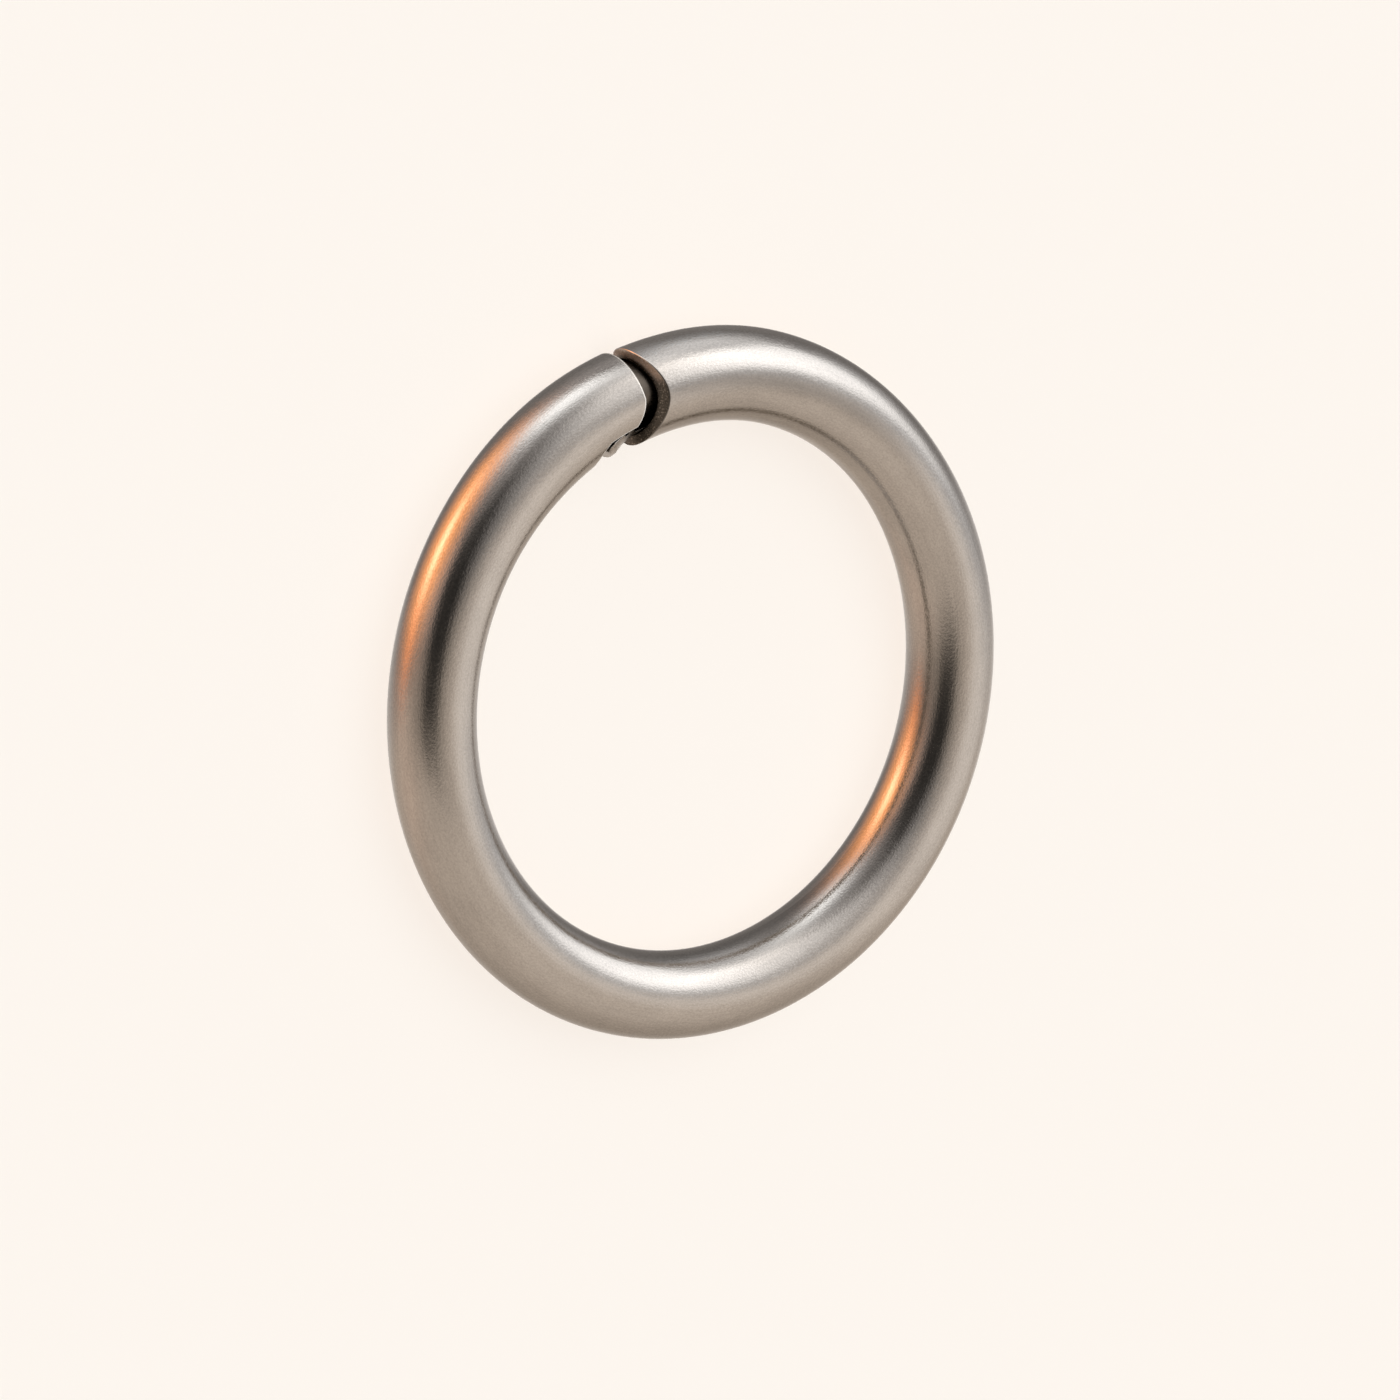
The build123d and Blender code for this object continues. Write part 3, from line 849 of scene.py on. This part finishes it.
def milled_steel(name, tone, tint, edge):
    """A cut face: the cutter's dull grain with pale dust, kept dark by painted shade except at the outermost
    edge, which carries a painted highlight, and a dull brown tint on the outer part of the wall towards the
    hoop's outer side, which covers the metal."""
    def shading(tree, place, colour):
        # Painted shade darkens the face away from its outermost edge, where a painted highlight brightens it;
        # pale dust specks are multiplied in after
        painted_light_scale = ramp(tree, place, "Y", 0.86, 1.02, 0.36, 2.0)
        dust = add_node(tree, "ShaderNodeTexNoise", {"noise_dimensions": "3D"},
                        {"Vector": place, "Scale": 26.0, "Detail": 1.0})
        painted_light_scale = math_node(tree, "MULTIPLY", painted_light_scale, smooth(tree, dust.outputs["Fac"], 0.58, 0.68, 1.0, 2.6))
        bare = scaled(tree, colour, painted_light_scale)
        outermost = ramp(tree, place, "Y", 0.93, 1.0, 0.0, 0.9)
        section = add_node(tree, "ShaderNodeVectorMath", {"operation": "MULTIPLY"}, {0: place, 1: (0, 1, 1)})
        from_centre = add_node(tree, "ShaderNodeVectorMath", {"operation": "DISTANCE"},
                               {0: section.outputs[0], 1: ARCHED_CENTRE})
        outer_part = smooth(tree, from_centre.outputs["Value"], 0.88, 0.97)
        share = math_node(tree, "MAXIMUM", outer_part, outermost)
        share = math_node(tree, "MULTIPLY", share, ramp(tree, place, "Y", 0.18, 0.50, 0.0, 0.62))
        # At the outermost edge the brown tint turns into the rims' bright tone, a painted highlight
        tint_tone = blend(tree, tint, edge, outermost)
        tint_tone = scaled(tree, tint_tone, ramp(tree, place, "Y", 0.60, 0.90, 1.0, 0.70))
        return blend(tree, bare, tint_tone, share), math_node(tree, "SUBTRACT", 1.0, share)
    return metal(name, tone, 0.34, 2.5e-6, 1.0, 2.0, 0.8, shading=shading)


def edge_steel(name, tone):
    """A sharp cut edge with painted light and shade: bright on the hoop's outer side and dark on its inner
    side.
    """
    def shading(tree, place, colour):
        return scaled(tree, colour, ramp(tree, place, "Y", 0.0, 0.5, 0.40, 1.3)), 1.0
    return metal(name, tone, 0.14, 1.0e-6, 0.2, 0.5, 0.2, shading=shading)


def turned_steel(name, tone):
    """The pin's dull turned steel, whose dark tone is painted shade."""
    return metal(name, tone, 0.32, 1.6e-6, 0.4, 1.0, 0.6)


def camera_axes(look):
    """Right, up and back of the camera: back points from the hoop to the camera, at its azimuth and elevation,
    and right and up are turned about it by the roll."""
    azimuth, elevation, roll = look.camera_azimuth, look.camera_elevation, look.camera_roll
    back = Vector((cos(elevation) * cos(azimuth), cos(elevation) * sin(azimuth), sin(elevation)))
    level = Vector((-sin(azimuth), cos(azimuth), 0.0))
    upright = back.cross(level)
    right = cos(roll) * level + sin(roll) * upright
    return right, back.cross(right), back


def add_camera(sizes, look):
    """The camera looks at the hoop's centre, and its small shift puts that where the photograph has it."""
    right, up, back = camera_axes(look)
    data = bpy.data.cameras.new("camera")
    data.lens = look.camera_lens
    data.sensor_width = 36.0
    data.shift_x, data.shift_y = CAMERA_SHIFT
    data.clip_start = 0.01
    data.clip_end = 10.0
    camera = bpy.data.objects.new("camera", data)
    target = Vector((0.0, 0.0, sizes.centre_height))
    turned = Matrix((right, up, back)).transposed().to_4x4()
    camera.matrix_world = Matrix.Translation(target + back * look.camera_distance) @ turned
    bpy.context.scene.collection.objects.link(camera)
    bpy.context.scene.camera = camera


def add_floor(look):
    """A round pale floor with a very faint mottle."""
    angle = np.linspace(0, FULL_TURN, 128, endpoint=False)
    points = np.stack([*out_and_up(FLOOR_RADIUS, angle), 0 * angle], axis=-1)
    mesh = bpy.data.meshes.new("floor")
    mesh.from_pydata(points.tolist(), [], [list(range(128))])
    floor = bpy.data.objects.new("floor", mesh)
    bpy.context.scene.collection.objects.link(floor)
    material = bpy.data.materials.new("pale_floor")
    tree = new_tree(material)
    where = add_node(tree, "ShaderNodeTexCoord")
    mottle = add_node(tree, "ShaderNodeTexNoise", None,
                      {"Vector": where.outputs["Object"], "Scale": 60.0, "Detail": 2.0})
    faint = math_node(tree, "MULTIPLY_ADD", mottle.outputs["Fac"], 0.006, 0.997)
    tone = scaled(tree, tuple(look.floor_tone), faint)
    shader = add_node(tree, "ShaderNodeBsdfPrincipled", None,
                      {"Base Color": tone, "Roughness": 1.0, "Specular IOR Level": 0.0})
    finish_tree(tree, "ShaderNodeOutputMaterial", shader)
    mesh.materials.append(material)
    floor.visible_glossy = False
    floor.visible_shadow = False


def add_sun(name, direction, spread, strength, shadow):
    """A soft lamp for the floor, from a direction, which the metal doesn't mirror."""
    data = bpy.data.lights.new(name, "SUN")
    data.angle = spread
    data.energy = strength
    data.use_shadow = shadow
    lamp = bpy.data.objects.new(name, data)
    lamp.rotation_mode = "QUATERNION"
    lamp.rotation_quaternion = Vector(direction).to_track_quat("Z", "Y")
    lamp.visible_glossy = False
    bpy.context.scene.collection.objects.link(lamp)


def panel_light(tree, azimuth, elevation, centre, half, sharpness):
    """How strongly a soft panel shows in a direction: one in its middle, and the falloff takes both angle
    differences to the power of the sharpness."""
    aside = math_node(tree, "WRAP", math_node(tree, "SUBTRACT", azimuth, radians(centre[0])), pi, -pi)
    above = math_node(tree, "SUBTRACT", elevation, radians(centre[1]))
    return falloff(tree, ((aside, radians(half[0]), sharpness), (above, radians(half[1]), sharpness)))


def add_surroundings(look):
    """What the metal mirrors: a studio of a warm grey lower half, a grey upper half, soft panels and one dark
    opening. The camera itself sees a plain pale tone instead."""
    world = bpy.data.worlds.new("studio")
    bpy.context.scene.world = world
    tree = new_tree(world)
    where = add_node(tree, "ShaderNodeTexCoord").outputs["Generated"]
    parts = []
    for axis in camera_axes(look):
        dot = add_node(tree, "ShaderNodeVectorMath", {"operation": "DOT_PRODUCT"}, {0: where, 1: tuple(axis)})
        parts.append(dot.outputs["Value"])
    azimuth = math_node(tree, "ARCTAN2", parts[0], parts[2])
    elevation = math_node(tree, "ARCSINE", parts[1])
    colour = blend(tree, STUDIO_BELOW, STUDIO_ABOVE, smooth(tree, elevation, radians(-18), radians(6)))
    for kind, name, centre, half, sharpness, amount, tone in PANELS:
        shape = panel_light(tree, azimuth, elevation, centre, half, sharpness)
        if amount != 1.0:
            shape = math_node(tree, "MULTIPLY", shape, amount)
        colour = blend(tree, colour, tone, shape, kind, name)

    # Light that was mirrored before comes from plainer surroundings
    path_of_light = add_node(tree, "ShaderNodeLightPath")
    second = math_node(tree, "GREATER_THAN", path_of_light.outputs["Ray Depth"], SECOND_MIRRORING_DEPTH)
    front = panel_light(tree, azimuth, elevation, (-45, 22), (66, 26), 4.0)
    colour = blend(tree, colour, blend(tree, TWICE_AROUND, TWICE_FRONT, front), second)

    seen = path_of_light.outputs["Is Camera Ray"]
    mirrored, plain = (
        add_node(tree, "ShaderNodeBackground", None, {"Color": tone, "Strength": 1.0}).outputs[0]
        for tone in (colour, (*look.floor_tone, 1.0)))
    mixed = add_node(tree, "ShaderNodeMixShader", None, {0: seen, 1: mirrored, 2: plain})
    finish_tree(tree, "ShaderNodeOutputWorld", mixed)
    world.cycles_visibility.diffuse = False


class HOOP_OT_stage(bpy.types.Operator):
    """Make the floor, the soft light and the camera"""

    bl_idname = "hoop.stage"
    bl_label = "Stage"

    def execute(self, context):
        sizes, look = context.scene.hoop_sizes, context.scene.hoop_stage
        add_camera(sizes, look)
        add_floor(look)
        add_surroundings(look)
        right, up, back = camera_axes(look)
        add_sun("key_lamp", 0.9 * right + 0.25 * up + 0.9 * back, radians(60), 0.25, True)
        add_sun("dome_lamp", (0.0, 0.0, 1.0), radians(170), 0.45, True)
        add_sun("fill_lamp", (0.0, 0.0, 1.0), radians(10), 2.46, False)
        context.scene.view_settings.view_transform = "Standard"
        return {"FINISHED"}


class HOOP_OT_tube(bpy.types.Operator):
    """Make the hollow tube with its notched end and its arched end"""

    bl_idname = "hoop.tube"
    bl_label = "Tube"

    def execute(self, context):
        build_tube(context.scene.hoop_sizes, context.scene.hoop_steel)
        return {"FINISHED"}


class HOOP_OT_catch(bpy.types.Operator):
    """Make the core pin and the catch tongue in the gap"""

    bl_idname = "hoop.catch"
    bl_label = "Catch"

    def execute(self, context):
        scene = context.scene
        build_pin(scene.hoop_sizes, scene.hoop_catch, scene.hoop_steel)
        build_tongue(scene.hoop_sizes, scene.hoop_catch, scene.hoop_steel)
        return {"FINISHED"}


class HOOP_PT_panel(bpy.types.Panel):
    """The hoop's steps and sizes"""

    bl_idname = "HOOP_PT_panel"
    bl_label = "Hoop"
    bl_space_type = "VIEW_3D"
    bl_region_type = "UI"
    bl_category = "Hoop"

    def draw(self, context):
        layout = self.layout
        for operator in (HOOP_OT_stage, HOOP_OT_tube, HOOP_OT_catch):
            layout.operator(operator.bl_idname)
        scene = context.scene
        for group in (scene.hoop_sizes, scene.hoop_catch, scene.hoop_steel, scene.hoop_stage):
            box = layout.box()
            for name in group.__annotations__:
                box.prop(group, name)


GROUPS = {"hoop_sizes": HoopSizes, "hoop_catch": CatchSizes, "hoop_steel": SteelLook, "hoop_stage": StageLook}
CLASSES = (*GROUPS.values(), HOOP_OT_stage, HOOP_OT_tube, HOOP_OT_catch, HOOP_PT_panel)


def register():
    for made in CLASSES:
        bpy.utils.register_class(made)
    for name, group in GROUPS.items():
        setattr(bpy.types.Scene, name, PointerProperty(type=group))


def unregister():
    for name in GROUPS:
        delattr(bpy.types.Scene, name)
    for made in reversed(CLASSES):
        bpy.utils.unregister_class(made)


def main():
    register()
    bpy.ops.hoop.stage()
    bpy.ops.hoop.tube()
    bpy.ops.hoop.catch()


if __name__ == "__main__":
    main()
